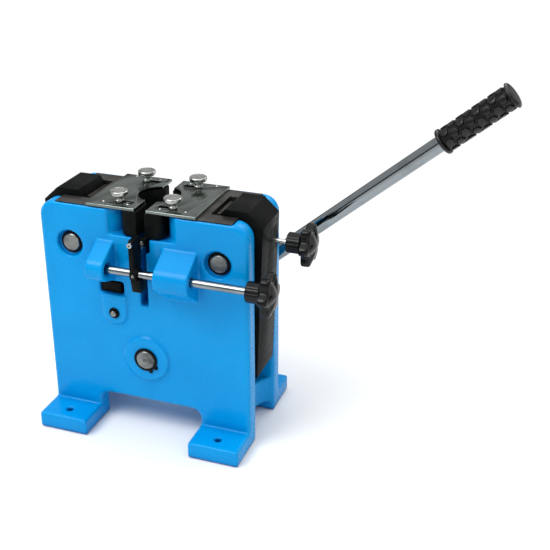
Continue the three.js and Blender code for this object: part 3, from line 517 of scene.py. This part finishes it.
roundBars = {  # node: axis, edge break, bore radius, in mm
    "arm_pivot_pin_left": (alongY, 0.9, 0), "arm_pivot_pin_right": (alongY, 0.9, 0),
    "roller_pin_left": (alongY, 0.5, 0), "roller_pin_right": (alongY, 0.5, 0),
    "cam_roller_left": (alongY, 0.8, 5.3), "cam_roller_right": (alongY, 0.8, 5.3),
    "pivot_ring_front_left": (alongY, 0.3, 11.8), "pivot_ring_front_right": (alongY, 0.3, 11.8),
    "pivot_ring_rear_left": (alongY, 0.3, 11.8), "pivot_ring_rear_right": (alongY, 0.3, 11.8),
    "shaft_bush_front": (alongY, 0.4, 12.8), "shaft_bush_rear": (alongY, 0.4, 12.8),
    "pawl_pin": (alongY, 0.6, 0), "pawl_clip": (alongY, 0.2, 4.3), "stroke_screw": (alongX, 0.5, 0),
    "opener_rod": (alongX, 0.8, 0), "finger_set_screw": (alongY, 0.4, 0),
    "hub_clamp_screw": (leverAxis, 0.5, 0), "lever_tube": (leverAxis, 0.8, 0),
}
dowelEdge = 0.4  # mm


def roundBar(name, axis, edge, bore, tone):
    centre, low, high, radius = measure(name, axis)
    edge *= mm
    bore *= mm
    if bore:
        corners = [(bore, low), (bore + edge / 2, low), (radius, low, edge), (radius, high, edge),
                   (bore + edge / 2, high), (bore, high)]
    else:
        corners = [(0, low), (radius - edge, low), (radius, low + edge), (radius, high - edge),
                   (radius - edge, high), (0, high)]
    material = turnedFinish(name, centre, axis, tone) if slotOfNode[name] == "pin_steel" else None
    return settle(turned(f"{name}_turned", centre, axis, corners, ring=bool(bore)), name, material)


for nodeName, (axis, edge, bore) in roundBars.items():
    roundBar(nodeName, axis, edge, bore, turnedSteel)
for nodeName in [name for name in nodes if name.startswith("cover_dowel")]:
    roundBar(nodeName, alongZ, dowelEdge, 0, brightSteel)

# the main shaft, with a lathe's centre hole in each end; in mm
shaft = {"centreHole": 2.4, "centreDepth": 3.0, "edge": 1.0}


def mainShaft():
    centre, low, high, radius = measure("main_shaft", alongY)
    hole, depth, edge = (shaft[key] * mm for key in ("centreHole", "centreDepth", "edge"))
    corners = [(0, low + depth), (hole, low + 0.4 * depth), (hole * 1.15, low), (radius - edge, low),
               (radius, low + edge), (radius, high - edge), (radius - edge, high), (hole, high),
               (0, high - depth)]
    steel = turnedFinish("main_shaft", centre, alongY, turnedSteel)
    return settle(turned("main_shaft_turned", centre, alongY, corners), "main_shaft", steel)


mainShaft()

# screws whose heads have a hexagon socket: round outside, six-sided and sunk inside
socketScrews = {  # node: head radius, head length, shank radius, socket across flats, in mm
    "finger_bolt": (3.2, 3.0, 1.5, 2.9), "spreader_screw": (3.7, 3.0, 2.0, 3.4),
}
socketDepth = {"mouth": 0.15, "wall": 0.65, "bottom": 0.75}  # mouth in mm, the others as shares of the head


def socketScrew(name, *sizes):
    centre, low, high, _ = measure(name, alongY)
    headRadius, headLength, shank, across = (size * mm for size in sizes)
    angle = anglesAround(meshing["ringSteps"])
    hexagon = across / 2 / np.cos((angle + np.pi / 6) % (np.pi / 3) - np.pi / 6)
    outline = softened([(0, high), (shank, high), (shank, low + headLength),
                        (headRadius, low + headLength, 0.3 * mm), (headRadius, low, 0.5 * mm),
                        (headRadius * 0.85, low)])
    inner = np.stack([hexagon * 1.06, hexagon, hexagon, hexagon * 0])
    depths = np.array([0, socketDepth["mouth"] * mm, socketDepth["wall"] * headLength,
                       socketDepth["bottom"] * headLength])
    heights = np.concatenate([outline[:, 1], low + depths])
    radii = np.concatenate([outline[:, :1] * np.ones(len(angle)), inner])
    return settle(wrap(f"{name}_socket", spun(centre, alongY, heights, radii)), name)


for nodeName, sizes in socketScrews.items():
    socketScrew(nodeName, *sizes)
print("turned pieces made")

# thumb screws: shank, collar on the cover plate, neck, dished head; in mm
thumb = {
    "shank": 3.0, "tip": 0.6, "seatGap": 0.3, "collar": 5.8, "neck": 4.8, "dish": 0.7, "rim": 1.7,
    "headHeight": 7.5, "steps": 96,
}


def thumbScrew(name):
    centre, low, high, radius = measure(name, alongZ)
    shank, tip, collar = (thumb[key] for key in ("shank", "tip", "collar"))
    neck, dish, rim = (thumb[key] for key in ("neck", "dish", "rim"))
    start, top, r = low / mm, high / mm, radius / mm
    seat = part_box("cover_plate_left")[1].z / mm + thumb["seatGap"]
    under = top - thumb["headHeight"]
    corners = [  # radius, height, rounding
        (0, start, 0), (shank - tip, start, 0), (shank, start + tip, 0), (shank, seat, 0),
        (collar, seat, 0.3), (collar, seat + 1.9, 0.6), (neck, seat + 3.1, 0.8), (neck, under - 2.2, 0.8),
        (collar, under - 1, 0.6), (collar + 0.3, under, 0.4), (r - 1.6, under + 1.0, 1.0),
        (r, under + 2.4, 1.2), (r, top - 1.2, 1.0), (r - rim, top, 0.7), (r - 2 * rim, top - dish, 1.4),
        (0, top - dish, 0),
    ]
    profile = [tuple(size * mm for size in corner) for corner in corners]
    return settle(turned(f"{name}_turned", centre, alongZ, profile, steps=thumb["steps"]), name)


for nodeName in [name for name in nodes if name.startswith("thumb_screw")]:
    thumbScrew(nodeName)

# star knobs; in mm
star = {
    "lobes": 6, "scallop": 3.5, "hub": 13.0, "hubLength": 15.5, "hubEdge": 0.8, "web": 5.0, "dome": 4.5,
    "rimRound": 4.0, "flutes": 12, "fluteDepth": 0.5, "steps": 288,
}


def starKnob(name):
    # lobed(a) = R - s (1 - cos 6a); 1 - cos t leads from the fluted hub to the lobes; the face is domed
    centre, low, high, _ = measure(name, alongX)
    side, up = perpendicular(alongX)
    angle = anglesAround(star["steps"])
    points = vertices(name) - centre
    reach = np.hypot(points @ side, points @ up)
    outerMost = points[np.argmax(reach)]
    around = angle - math.atan2(outerMost @ up, outerMost @ side)
    lobed = reach.max() - star["scallop"] * mm * (1 - np.cos(star["lobes"] * around))
    hub = np.full(star["steps"], star["hub"] * mm)
    hub = hub - star["fluteDepth"] * mm * (1 - np.abs(np.cos(star["flutes"] / 2 * around))) ** 2
    edge, start, web = (star[key] * mm for key in ("hubEdge", "hubLength", "web"))
    rim, dome = star["rimRound"] * mm, star["dome"] * mm
    top = high - dome
    lip = low + start + web + rim * 0.5
    rows = [(np.zeros(star["steps"]), low), (hub * 0.5, low), (hub - edge, low), (hub, low + edge)]
    for share in np.linspace(0.05, 1, 6):
        rows.append((hub, low + edge + share * (start - edge)))
    for share in np.linspace(0, 1, 14)[1:]:  # a hollow sweep from hub to lobe
        turn = share * np.pi / 2
        rows.append((hub + (lobed - rim * 0.5 - hub) * (1 - np.cos(turn)), low + start + web * np.sin(turn)))
    for share in np.linspace(0, 1, 6)[1:]:
        turn = share * np.pi / 2
        rows.append((lobed - rim * 0.5 * (1 - np.sin(turn)), lip - rim * 0.5 * np.cos(turn)))
    for share in np.linspace(0, 1, 4)[1:]:
        rows.append((lobed, lip + share * (top - rim - lip)))
    for share in np.linspace(0, 1, 9)[1:]:
        turn = share * np.pi / 2
        rows.append((lobed - rim * (1 - np.cos(turn)), top - rim + rim * np.sin(turn)))
    for share in np.linspace(1, 0, 16)[1:]:
        rows.append(((lobed - rim) * share, top + dome * (1 - share**2)))
    radii = np.stack([row[0] for row in rows])
    heights = np.array([row[1] for row in rows])
    return settle(wrap(f"{name}_star", spun(centre, alongX, heights, radii)), name)


starKnob("stroke_knob")
starKnob("opener_knob")
print("knobs made")

# the grip, with raised hexagon studs; in mm, and phase in degrees
grip = {
    "rings": 6, "phase": 164.2, "pitch": 22.6, "acrossFlats": 11.2, "studHeight": 1.9, "studDrop": 1.6,
    "slope": 0.8, "crown": 0.12, "flange": 5.0, "margin": 6.0, "around": 252, "rows": 300,
}


def studField(along, arc, length, girth):
    # height over a hexagonal lattice: distance to the nearest centre, measured across flats
    spacing = girth / grip["rings"]
    row = grip["pitch"] * mm
    best = np.full(along.shape, 1.0)
    for shift in (0.0, 0.5):
        dx = np.abs((along / row - shift + 0.5) % 1 - 0.5) * row
        dy = np.abs((arc / spacing - shift + 0.5) % 1 - 0.5) * spacing
        flats = np.maximum(dy, dx * math.cos(math.pi / 6) + dy * math.sin(math.pi / 6))
        best = np.minimum(best, flats)
    half, slope, margin = grip["acrossFlats"] / 2 * mm, grip["slope"] * mm, grip["margin"] * mm
    rise = np.clip((half - best) / slope, 0, 1)
    crown = np.clip(1 - (best / half) ** 2, 0, 1) * grip["crown"]
    inside = np.clip((along - margin) / mm, 0, 1) * np.clip((length - margin - along) / mm, 0, 1)
    return (rise * rise * (3 - 2 * rise) + crown * rise) * inside


def leverGrip():
    centre, low, high, radius = measure("lever_grip", leverAxis)
    _, _, _, tube = measure("lever_tube", leverAxis)
    length = high - low
    top = radius - grip["studDrop"] * mm
    base = top - grip["studHeight"] * mm
    flange, around = grip["flange"] * mm, grip["around"]
    t = np.linspace(flange, length - flange, grip["rows"])
    arcs = (anglesAround(around) - math.radians(grip["phase"])) * top
    along, arc = np.meshgrid(t, arcs, indexing="ij")
    field = base + studField(along, arc, length, 2 * np.pi * top) * grip["studHeight"] * mm
    near = softened([(tube + 0.2 * mm, 0), (radius - 0.6 * mm, 0, 0.8 * mm), (radius, 0.9 * mm, 0.8 * mm),
                     (radius, flange - 1.4 * mm, 0.9 * mm), (base + 0.3 * mm, flange - 0.2 * mm, 0.5 * mm)])
    far = softened([(base + 0.3 * mm, length - flange + 0.2 * mm),
                    (radius, length - flange + 1.4 * mm, 0.9 * mm), (radius, length - 2.2 * mm, 1.6 * mm),
                    (radius - 1.8 * mm, length - 0.4 * mm, 1.2 * mm),
                    (radius - 5 * mm, length, 1.0 * mm), (0, length)])
    radii = np.concatenate([np.repeat(near[:, :1], around, 1), field, np.repeat(far[:, :1], around, 1)])
    heights = np.concatenate([near[:, 1], t, far[:, 1]]) + low
    grid = spun(centre, leverAxis, heights, radii)
    inner = centre + (low + 0.5 * length) * leverAxis + 0 * grid[:1]  # closes the mouth inside the grip
    return settle(wrap("lever_grip_studded", np.concatenate([inner, grid])), "lever_grip")


leverGrip()
hubEdge = 0.8  # mm
eased("lever_hub", hubEdge)
print("lever made")

# floor, light and camera; in metres, degrees and watts
studio = {
    "floor": rgb(244, 245, 246), "floorSize": 60.0, "floorDrop": 0.0002, "paleFrom": 0.35, "paleTo": 1.1,
    "grain": {"scale": 3, "detail": 1}, "rough": (0.3, 0.7, 0.75, 0.85),
    "aim": (0.0, 0.0, 0.2), "world": 0.8,
    "bands": [(0.5, 0.35), (0.54, 0.1), (0.59, 0.08), (0.63, 0.75), (0.77, 0.8), (0.8, 0.2), (0.84, 0.2),
              (0.88, 2.0), (1.0, 2.2)],
}
lamps = {  # name: place, width, height, power
    "key light": ((-1.2, -1.4, 2.5), 1.6, 1.6, 47.0),
    "fill light": ((1.9, -1.7, 1.2), 1.4, 1.4, 4.0),
    "rear light": ((0.6, 2.0, 1.9), 1.8, 1.0, 12.0),
}
view = {
    "lens": 63.95, "sensor": 36.0, "place": (0.3715, -1.0316, 0.7480), "azimuth": 18.97, "elevation": 23.53,
    "roll": 0.23, "shiftX": 0.0, "shiftY": -0.064, "nearest": 0.05,
}
black = (0.0, 0.0, 0.0, 1.0)
white = (1.0, 1.0, 1.0, 1.0)


def floorRecipe(shop):
    # near the object it takes shadows; further out it fades to the even white of the backdrop
    far = shop.span(shop.length(shop.place()), studio["paleFrom"], studio["paleTo"])
    return {"Base_Color": shop.blend(far, studio["floor"], black),
            "Emission_Color": shop.blend(far, black, white),
            "Roughness": shop.span(shop.noise(**studio["grain"]), *studio["rough"])}


def floorPlane():
    size = studio["floorSize"]
    mesh = bpy.data.meshes.new("floor")
    corners = [(-size, -size, 0), (size, -size, 0), (size, size, 0), (-size, size, 0)]
    mesh.from_pydata(corners, [], [(0, 1, 2, 3)])
    floor = addPiece("floor", mesh)
    floor.location.z = cadBox[0][2] - studio["floorDrop"]
    pale = newMaterial("paleFloor", floorRecipe, Specular_IOR_Level=0.1, Emission_Strength=1.0)
    floor.data.materials.append(pale)


def softBox(name, place, width, height, power):
    light = bpy.data.lights.new(name, "AREA")
    light.shape = "RECTANGLE"
    light.size = width
    light.size_y = height
    light.energy = power
    lamp = addPiece(name, light)
    lamp.location = place
    lamp.visible_camera = False
    lamp.rotation_euler = (Vector(studio["aim"]) - Vector(place)).to_track_quat("-Z", "Y").to_euler()


def studioWorld():
    # bands of light and dark by height, for the metal to reflect; the backdrop itself is even
    world = bpy.data.worlds.new("studio")
    bpy.context.scene.world = world
    world.use_nodes = True
    tree = world.node_tree
    tree.nodes.clear()
    shop = PaintShop(tree)
    direction = shop.add("ShaderNodeTexCoord", output="Generated")
    height = shop.add("ShaderNodeSeparateXYZ", {}, {0: direction}, output="Z")
    bands = shop.add("ShaderNodeValToRGB", {"stops": studio["bands"]}, {"Fac": shop.span(height, -1.0, 1.0)})
    seen = shop.add("ShaderNodeLightPath", output="Is Camera Ray")
    values = {"Color": shop.blend(seen, bands, white), "Strength": studio["world"]}
    background = shop.add("ShaderNodeBackground", {}, values)
    output = tree.nodes.new("ShaderNodeOutputWorld")
    tree.links.new(background.socket, output.inputs["Surface"])


def matchedCamera():
    camera = bpy.data.cameras.new("camera")
    camera.sensor_width = view["sensor"]
    camera.lens = view["lens"]
    camera.shift_x = view["shiftX"]
    camera.shift_y = view["shiftY"]
    camera.clip_start = view["nearest"]
    holder = addPiece("camera", camera)
    azimuth, elevation = math.radians(view["azimuth"]), math.radians(view["elevation"])
    turn = Matrix.Rotation(azimuth, 4, "Z") @ Matrix.Rotation(math.pi / 2 - elevation, 4, "X")
    turn = turn @ Matrix.Rotation(math.radians(view["roll"]), 4, "Z")
    holder.matrix_world = Matrix.Translation(view["place"]) @ turn
    bpy.context.scene.camera = holder


floorPlane()
for lampName, values in lamps.items():
    softBox(lampName, *values)
studioWorld()
matchedCamera()
bpy.context.scene.view_settings.view_transform = "Standard"
print("studio made")
